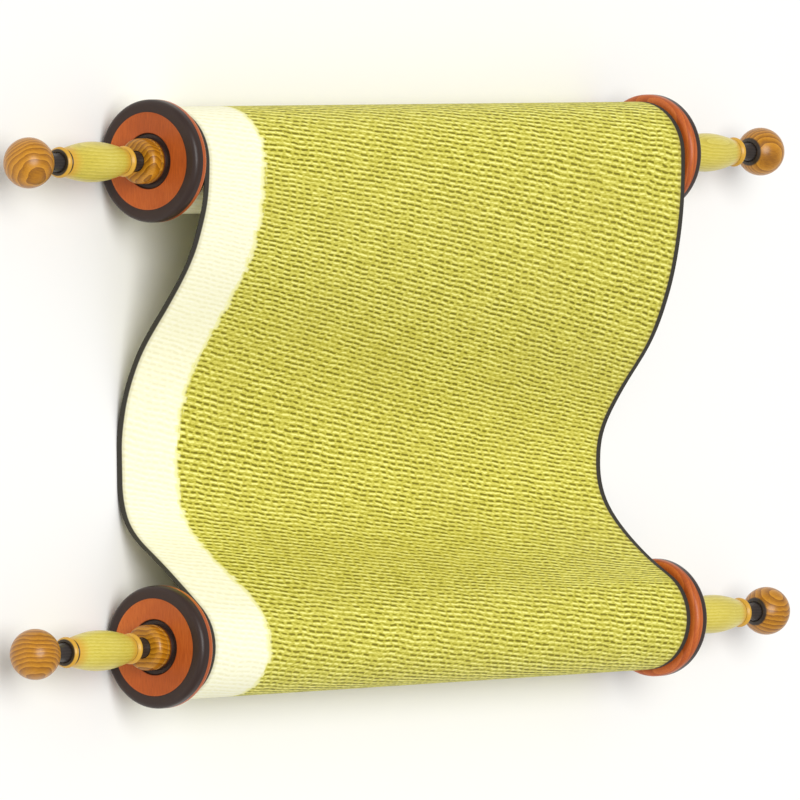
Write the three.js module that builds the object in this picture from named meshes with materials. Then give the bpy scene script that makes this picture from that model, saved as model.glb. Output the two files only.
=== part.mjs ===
// A Torah scroll, open and lying down: one sheet of parchment wound on two wooden rollers.
// Units are millimetres. +X runs along the rollers, +Y from the front roller to the back one,
// +Z is up, and the origin lies on the table under the middle of the scroll.
import * as THREE from "three";

// The parchment and the two rolls it is wound into
const parchmentWidth = 496;
const parchmentThickness = 0.8;
const rollRadius = 32.5;
const rollerSpacing = 288;

// The loose stretch sags to a trough that lies on the table, nearer the front roller. It hangs
// a little askew: its left edge falls sooner than its right edge, and both are equally long.
// Each reach is how far the curve keeps its end's direction, as a share of its run.
const troughGap = 0.3;
const frontLandingAngle = THREE.MathUtils.degToRad(46);
const leftSag = {
  troughFromFrontAxis: 108,
  leaveBackReach: 0.48,
  reachTroughReach: 0.5,
  leaveTroughReach: 0.46,
  reachFrontReach: 0.54,
};
const rightSag = {
  troughFromFrontAxis: 95,
  leaveBackReach: 0.72,
  reachTroughReach: 0.3,
  leaveTroughReach: 0.41,
  reachFrontReach: 0.13,
};

// A pole runs through each roller and carries every turned piece
const barrelRadius = 12;
const spigotRadius = 6;

// The disc at each end of a roll
const discOverhang = 4;
const discThickness = 12;
const discEdgeRadius = 3.5;
const discGrooveWidth = 3;
const discGrooveDepth = 1.4;

// The collar against the disc
const collarRadius = 13.5;
const collarLength = 11;
const collarEdgeRadius = 3.5;

// The olive-shaped grip, with a bead at each end
const gripRadius = 12;
const gripShoulderRadius = 8;
const gripLength = 67;
const gripBeadRadius = 9.2;
const gripBeadLength = 5;

// The ball at the tip
const ballRadius = 15;
const ballSocketDepth = 14;

// The stretches of bare pole on each side of the grip
const innerNeckLength = 9.5;
const outerNeckLength = 14;

// Clearances
const seatClearance = 0.3;
const boreClearance = 0.3;
const parchmentPlay = 2;

// How finely round shapes are cut. A disc stands on one facet of its rim, its small flat spot.
const discFacets = 40;
const handleFacets = 18;
const rollSegments = 40;
const boreSegments = 24;
const sheetSegments = 16;
const sheetStrips = 3;
const edgeSteps = 2;
const gripSteps = 9;
const beadSteps = 2;
const ballSteps = 8;

// Sizes that follow from the ones above
const discRadius = rollRadius + discOverhang;
const axisHeight = discRadius * Math.cos(Math.PI / discFacets);
const barrelHalfLength = parchmentWidth / 2 + parchmentPlay - seatClearance;
const turnedBore = spigotRadius + boreClearance;
const discInnerX = barrelHalfLength + seatClearance;
const collarInnerX = discInnerX + discThickness + seatClearance;
const gripInnerX = collarInnerX + collarLength + innerNeckLength;
const ballMouthRadius = turnedBore + boreClearance;
const ballMouthAngle = Math.asin(ballMouthRadius / ballRadius);
const ballMouthX = gripInnerX + gripLength + outerNeckLength;
const ballCentreX = ballMouthX + ballRadius * Math.cos(ballMouthAngle);
const poleHalfLength = ballMouthX + ballSocketDepth - seatClearance;

const rollerY = { back: rollerSpacing / 2, front: -rollerSpacing / 2 };

const finishes = {
  parchment: new THREE.MeshStandardMaterial({ color: "#d0c95c", roughness: 0.7, metalness: 0 }),
  pole: new THREE.MeshStandardMaterial({ color: "#332b27", roughness: 0.45, metalness: 0 }),
  disc: new THREE.MeshStandardMaterial({ color: "#b8602a", roughness: 0.4, metalness: 0 }),
  goldenWood: new THREE.MeshStandardMaterial({ color: "#c88a2e", roughness: 0.35, metalness: 0 }),
  paleWood: new THREE.MeshStandardMaterial({ color: "#dccf62", roughness: 0.4, metalness: 0 }),
};

function point(across, up) {
  return new THREE.Vector2(across, up);
}

// Points of an arc, with angles in degrees, where 90 is a quarter turn from the first axis
// towards the second
function arc(centre, radius, fromDegrees, toDegrees, steps) {
  return Array.from({ length: steps + 1 }, (_, i) => {
    const angle = THREE.MathUtils.degToRad(fromDegrees + ((toDegrees - fromDegrees) * i) / steps);
    return point(centre.x + radius * Math.cos(angle), centre.y + radius * Math.sin(angle));
  });
}

// Turns a closed profile of radius against length, and lays its axis along +X.
// Half a facet of turn sets a facet flat underneath.
function turn(profile, facets) {
  const geometry = new THREE.LatheGeometry(profile, facets, Math.PI / facets);
  return geometry.rotateZ(-Math.PI / 2);
}

// Turns an outside profile with a bore through it for the pole's spigot
function turnWithBore(outside, facets) {
  const start = point(turnedBore, outside[0].y);
  const end = point(turnedBore, outside[outside.length - 1].y);
  return turn([start, ...outside, end, start], facets);
}

// The two curves that the middle of the sheet follows, as across and up in the YZ plane:
// level off the top of the back roll, down to the trough, and up onto the front roll
function sheetCurves(sag) {
  const lineRadius = rollRadius - parchmentThickness / 2;
  const leave = point(rollerY.back, axisHeight + lineRadius);
  const trough = point(
    rollerY.front + sag.troughFromFrontAxis,
    troughGap + parchmentThickness / 2,
  );
  const outward = point(Math.sin(frontLandingAngle), Math.cos(frontLandingAngle));
  const land = point(rollerY.front, axisHeight).addScaledVector(outward, lineRadius);
  const backRun = leave.x - trough.x;
  const frontRun = sag.troughFromFrontAxis;
  const alongLanding = point(outward.y, -outward.x);
  return [
    new THREE.CubicBezierCurve(
      leave,
      point(leave.x - sag.leaveBackReach * backRun, leave.y),
      point(trough.x + sag.reachTroughReach * backRun, trough.y),
      trough,
    ),
    new THREE.CubicBezierCurve(
      trough,
      point(trough.x - sag.leaveTroughReach * frontRun, trough.y),
      land.clone().addScaledVector(alongLanding, sag.reachFrontReach * frontRun),
      land,
    ),
  ];
}

// One face of the loose sheet: side is 1 for the written face on top, -1 for the face below
function sheetFace(sag, side) {
  const face = [];
  for (const curve of sheetCurves(sag)) {
    const first = face.length ? 1 : 0;
    for (let i = first; i <= sheetSegments; i++) {
      const along = curve.getTangent(i / sheetSegments);
      const faceWay = point(along.y, -along.x);
      const middle = curve.getPoint(i / sheetSegments);
      face.push(middle.addScaledVector(faceWay, (side * parchmentThickness) / 2));
    }
  }
  return face;
}

// The outermost turn of a roll, from where the sheet leaves it until it passes underneath.
// Its radius drops by one thickness on the way. turnWay is 1 for top to +Y, -1 for top to -Y.
function outermostTurn(centreY, leaveAngle, turnWay) {
  return Array.from({ length: rollSegments - 1 }, (_, i) => {
    const share = (i + 1) / rollSegments;
    const angle = leaveAngle + turnWay * 2 * Math.PI * share;
    const radius = rollRadius - parchmentThickness * share;
    return point(centreY + radius * Math.sin(angle), axisHeight + radius * Math.cos(angle));
  });
}

// The outline of the whole sheet: the loose stretch's upper face, round the front roll, back
// along the lower face, and round the back roll
function sheetOutline(sag) {
  return [
    ...sheetFace(sag, 1),
    ...outermostTurn(rollerY.front, frontLandingAngle, -1),
    ...sheetFace(sag, -1).reverse(),
    ...outermostTurn(rollerY.back, 0, 1).reverse(),
  ];
}

function atX(outline, x) {
  return outline.map((p) => new THREE.Vector3(x, p.x, p.y));
}

// Triangles between a closed ring of points and the same ring at the next station, whose points
// come stationSize later. Each quad is split from its first corner, or else from its second.
function ringTriangles(first, count, stationSize, splitAtFirst) {
  return Array.from({ length: count }, (_, i) => {
    const a = first + i;
    const b = first + ((i + 1) % count);
    const [nextA, nextB] = [a + stationSize, b + stationSize];
    return splitAtFirst(i) ? [a, b, nextB, a, nextB, nextA] : [a, b, nextA, b, nextB, nextA];
  }).flat();
}

// The sheet is lofted from its left edge to its right edge in a few strips, and a bore for each
// pole goes through both rolls. The upper and lower faces are split into triangles along the
// same lines, so that they never cross where the sheet is askew.
function parchment() {
  const edges = [sheetOutline(leftSag), sheetOutline(rightSag)];
  const bores = Object.values(rollerY).map((y) =>
    arc(point(y, axisHeight), barrelRadius + boreClearance, 360, 0, boreSegments).slice(0, -1),
  );
  const outlineSize = edges[0].length;
  const boresSize = bores.length * boreSegments;
  const onUpperFace = (i) => i < outlineSize / 2;
  const points = [];
  const triangles = [];

  for (let station = 0; station <= sheetStrips; station++) {
    const share = station / sheetStrips;
    const outline = edges[0].map((left, i) => left.clone().lerp(edges[1][i], share));
    const first = points.length;
    points.push(...atX(outline, (share - 0.5) * parchmentWidth));
    if (station < sheetStrips) {
      triangles.push(...ringTriangles(first, outlineSize, outlineSize, onUpperFace));
    }
  }

  const firstBore = points.length;
  for (const side of [-0.5, 0.5]) {
    points.push(...atX(bores.flat(), side * parchmentWidth));
  }
  for (let first = firstBore; first < firstBore + boresSize; first += boreSegments) {
    triangles.push(...ringTriangles(first, boreSegments, boresSize, () => true));
  }

  // In the flat ends, a triangle's corners count the outline's points and then the bores' points
  edges.forEach((outline, end) => {
    const outlineStart = end * sheetStrips * outlineSize;
    const boresStart = firstBore + end * boresSize - outlineSize;
    for (const triangle of THREE.ShapeUtils.triangulateShape(outline, bores)) {
      const corners = triangle.map((i) => i + (i < outlineSize ? outlineStart : boresStart));
      triangles.push(...(end === 0 ? corners.reverse() : corners));
    }
  });

  const lofted = new THREE.BufferGeometry().setFromPoints(points).setIndex(triangles);
  const faceted = lofted.toNonIndexed();
  faceted.computeVertexNormals();
  return faceted;
}

function pole() {
  const rightHalf = [
    point(barrelRadius, barrelHalfLength),
    point(spigotRadius, barrelHalfLength),
    point(spigotRadius, poleHalfLength),
    point(0, poleHalfLength),
  ];
  const leftHalf = rightHalf.map((p) => point(p.x, -p.y)).reverse();
  return turn([...leftHalf, ...rightHalf], handleFacets);
}

// Both edges are rounded, and a groove runs round the foot of the collar
function disc() {
  const edgeCentre = discRadius - discEdgeRadius;
  const outerEdge = discThickness - discEdgeRadius;
  return turnWithBore(
    [
      ...arc(point(edgeCentre, discEdgeRadius), discEdgeRadius, -90, 0, edgeSteps),
      ...arc(point(edgeCentre, outerEdge), discEdgeRadius, 0, 90, edgeSteps),
      point(collarRadius + discGrooveWidth, discThickness),
      point(collarRadius + discGrooveWidth / 2, discThickness - discGrooveDepth),
      point(collarRadius, discThickness),
    ],
    discFacets,
  );
}

function collar() {
  const edge = point(collarRadius - collarEdgeRadius, collarLength - collarEdgeRadius);
  return turnWithBore(
    [point(collarRadius, 0), ...arc(edge, collarEdgeRadius, 0, 90, edgeSteps)],
    handleFacets,
  );
}

// A bead of the grip: a half round from the bore's side of its foot to the grip's shoulder
function gripBead(footLength) {
  return Array.from({ length: beadSteps + 1 }, (_, i) => {
    const share = i / beadSteps;
    const swell = Math.sin(Math.PI * share);
    const radius = gripShoulderRadius + (gripBeadRadius - gripShoulderRadius) * swell;
    return point(radius, footLength + gripBeadLength * share);
  });
}

function grip() {
  const bodyLength = gripLength - 2 * gripBeadLength;
  const body = Array.from({ length: gripSteps - 1 }, (_, i) => {
    const share = (i + 1) / gripSteps;
    const swell = Math.sin(Math.PI * share);
    const radius = gripShoulderRadius + (gripRadius - gripShoulderRadius) * swell;
    return point(radius, gripBeadLength + bodyLength * share);
  });
  return turnWithBore(
    [...gripBead(0), ...body, ...gripBead(gripLength - gripBeadLength)],
    handleFacets,
  );
}

// Lengths are measured from the ball's centre, and the socket holds the end of the pole
function ball() {
  const mouthDegrees = THREE.MathUtils.radToDeg(ballMouthAngle);
  const surface = arc(point(0, 0), ballRadius, mouthDegrees - 90, 90, ballSteps);
  const mouth = -ballRadius * Math.cos(ballMouthAngle);
  const socketEnd = mouth + ballSocketDepth;
  const socket = [point(0, socketEnd), point(turnedBore, socketEnd), point(turnedBore, mouth)];
  return turn([...socket, ...surface], handleFacets);
}

function addPiece(group, name, geometry, finish, x = 0) {
  const mesh = new THREE.Mesh(geometry, finish);
  mesh.name = name;
  mesh.position.x = x;
  group.add(mesh);
}

// The pieces outside the roll, modelled for the right end. The left end is turned half round.
function handle(row, side) {
  const group = new THREE.Group();
  addPiece(group, `disc_${row}_${side}`, disc(), finishes.disc, discInnerX);
  addPiece(group, `collar_${row}_${side}`, collar(), finishes.goldenWood, collarInnerX);
  addPiece(group, `grip_${row}_${side}`, grip(), finishes.paleWood, gripInnerX);
  addPiece(group, `ball_${row}_${side}`, ball(), finishes.goldenWood, ballCentreX);
  group.rotation.z = side === "left" ? Math.PI : 0;
  return group;
}

const scroll = new THREE.Group();
addPiece(scroll, "parchment", parchment(), finishes.parchment);

for (const [row, y] of Object.entries(rollerY)) {
  const roller = new THREE.Group();
  roller.position.set(0, y, axisHeight);
  addPiece(roller, `pole_${row}`, pole(), finishes.pole);
  roller.add(handle(row, "left"), handle(row, "right"));
  scroll.add(roller);
}

export default scroll;
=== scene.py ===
# %% [markdown]
# # An open Torah scroll
#
# A Torah scroll is one long sheet of parchment wound on two wooden rollers. Here it lies open on
# a table: both rolls stand on the discs at their ends, and the loose stretch between them sags
# until it touches the table. The solid model already holds the main sizes and every place. This
# lesson gives each piece its real surface: parchment that is really wound, and wood that is
# really turned, with its grain, polish and burnt bands.
#
# X runs along the rollers, Y from the front roller to the back one, and Z is up.

# %% Load the solid model
import bisect
import math

import bpy
from mathutils import Matrix, Vector, noise


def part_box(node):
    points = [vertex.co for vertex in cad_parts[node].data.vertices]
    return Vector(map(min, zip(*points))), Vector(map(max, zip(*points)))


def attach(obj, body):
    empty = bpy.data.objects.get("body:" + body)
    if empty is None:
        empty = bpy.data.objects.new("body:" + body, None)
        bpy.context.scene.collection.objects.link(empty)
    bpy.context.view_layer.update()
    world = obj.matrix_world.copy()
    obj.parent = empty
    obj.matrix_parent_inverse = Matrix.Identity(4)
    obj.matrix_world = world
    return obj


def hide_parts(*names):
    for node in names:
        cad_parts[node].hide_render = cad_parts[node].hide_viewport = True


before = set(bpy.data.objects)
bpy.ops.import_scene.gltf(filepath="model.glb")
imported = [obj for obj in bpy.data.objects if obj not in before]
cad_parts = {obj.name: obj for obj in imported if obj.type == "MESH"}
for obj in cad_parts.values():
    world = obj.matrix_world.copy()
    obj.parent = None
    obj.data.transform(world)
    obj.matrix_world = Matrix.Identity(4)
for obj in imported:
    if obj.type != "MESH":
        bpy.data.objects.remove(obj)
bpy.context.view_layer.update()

print("the solid model has", len(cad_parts), "pieces")

# %% [markdown]
# ## Sizes
#
# A size that the solid model's boxes show is read from them, so each new piece lands exactly
# where the old one was. The finer sizes come where they are first needed. All of them are
# metres, so a value in millimetres is multiplied by MM.

# %% Read the sizes of the solid model
MM = 0.001
BACK_RIGHT = {kind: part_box(f"{kind}_back_right") for kind in ("disc", "collar", "grip", "ball")}
PARCHMENT_LOW, PARCHMENT_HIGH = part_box("parchment")

disc_low, disc_high = BACK_RIGHT["disc"]
AXIS_Y = (disc_low.y + disc_high.y) / 2
AXIS_Z = (disc_low.z + disc_high.z) / 2
ROLL_RADIUS = PARCHMENT_HIGH.z - AXIS_Z
PARCHMENT_WIDTH = PARCHMENT_HIGH.x - PARCHMENT_LOW.x
print(f"rollers {2 * AXIS_Y / MM:.0f} mm apart, rolls {2 * ROLL_RADIUS / MM:.0f} mm across")

# %% [markdown]
# ## Two habits for working with operators
#
# An operator acts on whatever is selected, and loading the model leaves its pieces selected. So
# every new piece starts from an empty selection. Points are picked by where they are, as a hand
# would pick them, here by their distance along the roller and out from its axis.

# %% Helpers for selecting
HAIR = 0.01 * MM  # how near a point has to be to a place to count as on it


def start_fresh():
    """Leaves edit mode and selects nothing."""
    if bpy.context.object and bpy.context.object.mode == "EDIT":
        bpy.ops.object.mode_set(mode="OBJECT")
    bpy.ops.object.select_all(action="DESELECT")


def pick_points(piece, wanted):
    """Selects the points for which wanted(along X, out from the back roller's axis) is true."""
    bpy.ops.mesh.select_mode(type="VERT")
    bpy.ops.mesh.select_all(action="DESELECT")
    bpy.ops.object.mode_set(mode="OBJECT")
    for point in piece.data.vertices:
        place = piece.matrix_world @ point.co
        point.select = wanted(place.x, math.hypot(place.y - AXIS_Y, place.z - AXIS_Z))
    bpy.ops.object.mode_set(mode="EDIT")


# %% [markdown]
# A new piece also ends the same way each time. Points that lie on each other are merged before
# the faces are turned outward, because only a closed shape has an outside. The piece's place is
# moved into its mesh, so its patterns stay where they are when it is exported.

# %% Helper for ending a piece
SEAM = 0.001 * MM  # how near points have to be to be merged


def settle(piece, name, material, smooth_angle=35):
    """Merges seams, turns faces outward, and gives the piece its shading, name and material."""
    bpy.ops.object.mode_set(mode="EDIT")
    bpy.ops.mesh.select_all(action="SELECT")
    bpy.ops.mesh.remove_doubles(threshold=SEAM)
    bpy.ops.mesh.normals_make_consistent(inside=False)
    bpy.ops.object.mode_set(mode="OBJECT")
    bpy.ops.object.transform_apply(location=True, rotation=True, scale=True)
    bpy.ops.object.shade_smooth_by_angle(angle=math.radians(smooth_angle))
    piece.name = name
    piece.data.name = name
    piece.data.materials.append(material)
    print(f"{name}: {len(piece.data.polygons)} faces")


# %% [markdown]
# ## Turning on a lathe
#
# Every wooden piece of a roller is turned: the wood spins, and a chisel cuts the same outline
# all the way round. In Blender the same shape could come from a Screw modifier or from stacked
# cylinders. Here half the outline is drawn as a string of edges, its corners are rounded with a
# vertex bevel, and Spin carries it round the roller's axis, because that is what a lathe does,
# and every groove stays a place on the outline that can be named.

# %% A small lathe
LATHE_STEPS = 144


def draw_outline(corners, closed=True):
    """Draws corners, each (along X, out from the axis), as edges on the back roller."""
    start_fresh()
    along, out = corners[0]
    bpy.ops.mesh.primitive_plane_add(size=MM, location=(along, AXIS_Y, AXIS_Z + out))
    piece = bpy.context.object
    bpy.ops.object.mode_set(mode="EDIT")
    bpy.ops.mesh.merge(type="CENTER")
    next_corners = corners[1:] + corners[:1] if closed else corners[1:]
    for next_along, next_out in next_corners:
        step = (next_along - along, 0, next_out - out)
        bpy.ops.mesh.extrude_region_move(TRANSFORM_OT_translate={"value": step})
        along, out = next_along, next_out
    bpy.ops.mesh.select_all(action="SELECT")
    bpy.ops.mesh.remove_doubles(threshold=SEAM)
    return piece


def round_corners(piece, corner_out, radius, segments):
    """Rounds the corners of an outline that are corner_out from the axis."""
    pick_points(piece, lambda along, out: abs(out - corner_out) < HAIR)
    bpy.ops.mesh.bevel(offset=radius, segments=segments, affect="VERTICES")


def spin_outline():
    """Carries the outline once round the back roller's axis."""
    bpy.ops.mesh.select_all(action="SELECT")
    bpy.ops.mesh.spin(
        steps=LATHE_STEPS,
        angle=2 * math.pi,
        center=(0, AXIS_Y, AXIS_Z),
        axis=(1, 0, 0),
    )


# %% [markdown]
# ## Materials from what the real thing is
#
# Each finish starts from a real material and the way its surface was made. Colours are written
# as sRGB hex, as a colour picker shows them, and one function turns them to Blender's linear
# values. One function adds a node: its inputs are given in the order in which the node shows
# them, or by name, and each takes a number, a colour, or the node or output that feeds it.

# %% Helpers for materials
def linear(hex_colour):
    """An sRGB hex colour as linear red, green, blue and alpha."""
    parts = [int(hex_colour[start:start + 2], 16) / 255 for start in (1, 3, 5)]
    return [
        ((part + 0.055) / 1.055) ** 2.4 if part > 0.04045 else part / 12.92 for part in parts
    ] + [1]


def add_node(tree, kind, inputs=(), stops=(), **settings):
    """Adds a node with its settings, what feeds it, and a colour ramp's (place, colour) stops."""
    node = tree.nodes.new("ShaderNode" + kind)
    for name, value in settings.items():
        setattr(node, name, value)
    if isinstance(inputs, dict):
        sockets = [(node.inputs[name], value) for name, value in inputs.items()]
    else:
        sockets = zip([socket for socket in node.inputs if socket.enabled], inputs)
    for socket, value in sockets:
        if isinstance(value, bpy.types.Node):
            value = next(output for output in value.outputs if output.enabled)
        if isinstance(value, bpy.types.NodeSocket):
            tree.links.new(value, socket)
        else:
            socket.default_value = linear(value) if isinstance(value, str) else value
    for number, (position, colour) in enumerate(stops):
        if number >= len(node.color_ramp.elements):
            node.color_ramp.elements.new(position)
        node.color_ramp.elements[number].position = position
        node.color_ramp.elements[number].color = linear(colour)
    return node


def start_material(name):
    """A new material, still without a node, and its node tree."""
    material = bpy.data.materials.new(name)
    material.use_nodes = True
    material.node_tree.nodes.clear()
    return material, material.node_tree


def finish_material(tree, inputs):
    """Ends a node tree with one shader, which is given its inputs, and the output."""
    shader = add_node(tree, "BsdfPrincipled", inputs)
    add_node(tree, "OutputMaterial", [shader])
    print(f"{tree.id_data.name}: {len(tree.nodes)} nodes")


# %% [markdown]
# ## Turned wood
#
# The pictured rollers show four woods: orange-red discs, golden balls and collars, pale yellow
# grips and near-black necks. Padauk, olive wood, boxwood and ebonised pear have just these
# colours. A photo of planks could be wrapped round them, but it would show seams. Solid noise
# is better: it fills space, so each piece is cut out of its own piece of wood, and the growth
# rings bend over a ball as they really do.
#
# Growth rings are rings round the heart of the log, which is off to one side of the piece. The
# fibres are a noise that is stretched along the grain, and the pores a finer one.

# %% Growth rings, fibres and pores
SMOOTHLY = {"interpolation_type": "SMOOTHSTEP"}
IN_COLOUR = {"data_type": "RGBA"}
WAVE_PERIOD = math.pi / 10  # metres from ring to ring where a wave texture's scale is 1
SWIRL_SIZE = 26 * MM
WANDER_SIZE = 45 * MM
WANDER_SHARE = 0.4
FIBRE_SHARE = 0.35
MEAN_SHIFT = 0.14  # brings the mean tone to the middle colour
# Each is (length, width, detail), and coarser than real ones, which would not show
FIBRES = (7 * MM, 0.5 * MM, 4.0)
PORES = (4.5 * MM, 0.28 * MM, 2.0)
PORE_EDGE, PORE_FLOOR = 0.36, 0.30  # where a pore starts in its noise, and where it is deepest


def wood_grain(tree, place, ring_width, ring_strength, swirl, heart, grain):
    """The tone, fibres and pores of a log, from where its heart is and how its grain turns."""
    log = add_node(tree, "Mapping", {"Vector": place, "Location": heart, "Rotation": grain})
    ring_scale = WAVE_PERIOD / ring_width
    rings = add_node(
        tree,
        "TexWave",
        {
            "Vector": log,
            "Scale": ring_scale,
            "Distortion": swirl,
            "Detail": 3.0,
            "Detail Scale": 1 / SWIRL_SIZE / ring_scale,
        },
        wave_type="RINGS",
        rings_direction="X",
        wave_profile="SAW",
    ).outputs["Fac"]
    wander = add_node(tree, "TexNoise", {"Vector": log, "Scale": 1 / WANDER_SIZE, "Detail": 3.0})
    threads = []
    for length, width, detail in (FIBRES, PORES):
        stretch = (1 / length, 1 / width, 1 / width)
        along_grain = add_node(tree, "Mapping", {"Vector": log, "Scale": stretch})
        threads.append(
            add_node(tree, "TexNoise", {"Vector": along_grain, "Scale": 1.0, "Detail": detail})
        )
    fibres, pore_noise = threads
    pores = add_node(tree, "MapRange", [pore_noise, PORE_EDGE, PORE_FLOOR, 0, 1], **SMOOTHLY)
    shift = MEAN_SHIFT - ring_strength / 2
    tone = add_node(tree, "Math", [rings, ring_strength, shift], operation="MULTIPLY_ADD")
    tone = add_node(tree, "Math", [wander, WANDER_SHARE, tone], operation="MULTIPLY_ADD")
    tone = add_node(tree, "Math", [fibres, FIBRE_SHARE, tone], operation="MULTIPLY_ADD")
    return tone, fibres, pores


# %% [markdown]
# One function finishes every wood, because all four were turned, sanded and polished alike.
# They differ in the log that they were cut from, in their colours, in how much polish they
# took, and in what was stained or burnt afterwards, which each wood's own function adds.

# %% Wood shader
PORE_STAIN = 0.45
PORE_DEPTH = 0.6
FIBRE_ROUGHNESS = 0.18
WOOD_RELIEF = 0.12 * MM


def turned_wood(name, colours, log, roughness, polish, decorate=None):
    """A turned wood in a dark, a middle and a light colour, cut from a log."""
    material, tree = start_material(name)
    place = add_node(tree, "TexCoord").outputs["Object"]
    tone, fibres, pores = wood_grain(tree, place, **log)
    dark, middle, light = colours
    colour = add_node(tree, "ValToRGB", [tone], stops=((0.18, dark), (0.5, middle), (0.82, light)))
    in_pores = add_node(tree, "Math", [pores, PORE_STAIN], operation="MULTIPLY")
    colour = add_node(tree, "Mix", [in_pores, colour, dark], **IN_COLOUR)
    if decorate:
        colour = decorate(tree, place, colour)
    smoothest = roughness - FIBRE_ROUGHNESS / 2
    rough = add_node(tree, "Math", [fibres, FIBRE_ROUGHNESS, smoothest], operation="MULTIPLY_ADD")
    height = add_node(tree, "Math", [pores, -PORE_DEPTH, fibres], operation="MULTIPLY_ADD")
    relief = {"Height": height, "Strength": 0.25, "Distance": WOOD_RELIEF}
    finish_material(
        tree,
        {
            "Base Color": colour,
            "Roughness": rough,
            "Normal": add_node(tree, "Bump", relief),
            "IOR": 1.5,
            "Specular IOR Level": 0.35,
            "Coat Weight": polish,
            "Coat Roughness": 0.2,
            "Coat IOR": 1.48,
        },
    )
    return material


# %% [markdown]
# ## Stained and burnt places
#
# A turner marks a piece while it still spins, so every mark runs round it at one distance along
# the roller, or at one distance out from its axis. Both rollers and both ends are marked alike,
# so the distances along the roller are measured from its middle.

# %% Places on a roller, and burning
CHARCOAL = "#161513"
BURN_STRENGTH = 0.96
SOFT_EDGE = 0.4 * MM


def along_roller(tree, place):
    """How far a place is from the middle of its roller, to the left or to the right."""
    x, _, _ = add_node(tree, "SeparateXYZ", [place]).outputs
    return add_node(tree, "Math", [x], operation="ABSOLUTE")


def band(tree, value, start, end, soft=SOFT_EDGE):
    """1 where value is between start and end, falling to 0 over the soft distance."""
    rise = add_node(tree, "MapRange", [value, start - soft, start + soft, 0, 1], **SMOOTHLY)
    fall = add_node(tree, "MapRange", [value, end - soft, end + soft, 1, 0], **SMOOTHLY)
    return add_node(tree, "Math", [rise, fall], operation="MULTIPLY")


def burn(tree, colour, masks):
    """Blackens the colour where a mask says, as a hot wire or point burns turned wood."""
    burnt = masks[0]
    for mask in masks[1:]:
        burnt = add_node(tree, "Math", [burnt, mask], operation="MAXIMUM")
    burnt = add_node(tree, "Math", [burnt, BURN_STRENGTH], operation="MULTIPLY")
    return add_node(tree, "Mix", [burnt, colour, CHARCOAL], **IN_COLOUR)


# %% [markdown]
# Padauk is a heavy African wood, orange-red when fresh, with coarse dark pores. Oiled and
# buffed, it has a soft shine. The picture draws each disc as an orange ring between two black
# ones. On a turned disc these are burnt bands: one round the collar, and a wide one on the rim,
# which starts on the face, goes over the rounded edge and ends halfway down the side.

# %% The discs' burnt bands
DISC_INNER_X = BACK_RIGHT["disc"][0].x
DISC_OUTER_X = BACK_RIGHT["disc"][1].x
DISC_FLAT = 5.7 * MM  # how wide the flat is that a disc stands on
DISC_RADIUS = math.hypot(AXIS_Z, DISC_FLAT / 2)
COLLAR_RADIUS = 13.5 * MM
GROOVE_WIDTH = 3.2 * MM
RIM_BAND_WIDTH = 7.4 * MM
RIM_BAND_START = DISC_RADIUS - RIM_BAND_WIDTH
RIM_BAND_DEPTH = 6.6 * MM
COLLAR_BAND_DEPTH = 2.7 * MM
SCORCH = 0.3 * MM  # how far a burnt edge fades


def out_from_axis(tree, place):
    """How far a place is from the axis of the roller that it is on."""
    _, y, z = add_node(tree, "SeparateXYZ", [place]).outputs
    from_middle = add_node(tree, "Math", [y], operation="ABSOLUTE")
    sideways = add_node(tree, "Math", [from_middle, AXIS_Y], operation="SUBTRACT")
    upwards = add_node(tree, "Math", [z, AXIS_Z], operation="SUBTRACT")
    from_axis = add_node(tree, "CombineXYZ", [sideways, upwards])
    return add_node(tree, "VectorMath", [from_axis], operation="LENGTH")


def burn_disc(tree, place, colour):
    """Burns the band on the rim and the band round the collar."""
    along, out = along_roller(tree, place), out_from_axis(tree, place)
    near_rim = add_node(
        tree, "MapRange", [out, RIM_BAND_START - SCORCH, RIM_BAND_START, 0, 1], **SMOOTHLY
    )
    near_collar = band(tree, out, COLLAR_RADIUS - SOFT_EDGE, COLLAR_RADIUS + GROOVE_WIDTH)
    masks = []
    for depth, where in ((RIM_BAND_DEPTH, near_rim), (COLLAR_BAND_DEPTH, near_collar)):
        edge = DISC_OUTER_X - depth
        outside = add_node(
            tree, "MapRange", [along, edge - SCORCH, edge + SCORCH, 0, 1], **SMOOTHLY
        )
        masks.append(add_node(tree, "Math", [outside, where], operation="MULTIPLY"))
    return burn(tree, colour, masks)


# %% Oiled padauk for the discs
oiled_padauk = turned_wood(
    "oiled_padauk",
    colours=("#7a3006", "#b5551a", "#d87a30"),
    log={
        "ring_width": 3.2 * MM,
        "ring_strength": 0.22,
        "swirl": 1.5,
        "heart": (0.0, -0.21, -0.05),
        "grain": (0.0, 0.0, math.radians(90)),
    },
    roughness=0.45,
    polish=0.15,
    decorate=burn_disc,
)

# %% [markdown]
# Olive wood is golden, with dark veins that swirl round every old branch. It takes a high
# polish. The veins are rings that a broad noise pushes a few millimetres to and fro. The foot
# of a collar and the mouth of a ball are burnt where they meet the next piece.

# %% Polished olive wood for the collars and balls
COLLAR_INNER_X = BACK_RIGHT["collar"][0].x
BALL_MOUTH_X = BACK_RIGHT["ball"][0].x
FOOT_BURN = 1.0 * MM
MOUTH_BURN = 1.3 * MM


def burn_joints(tree, place, colour):
    """Burns the foot of a collar and the mouth of a ball."""
    along = along_roller(tree, place)
    foot = band(tree, along, COLLAR_INNER_X - FOOT_BURN, COLLAR_INNER_X + FOOT_BURN)
    mouth = band(tree, along, BALL_MOUTH_X - FOOT_BURN, BALL_MOUTH_X + MOUTH_BURN)
    return burn(tree, colour, [foot, mouth])


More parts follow.
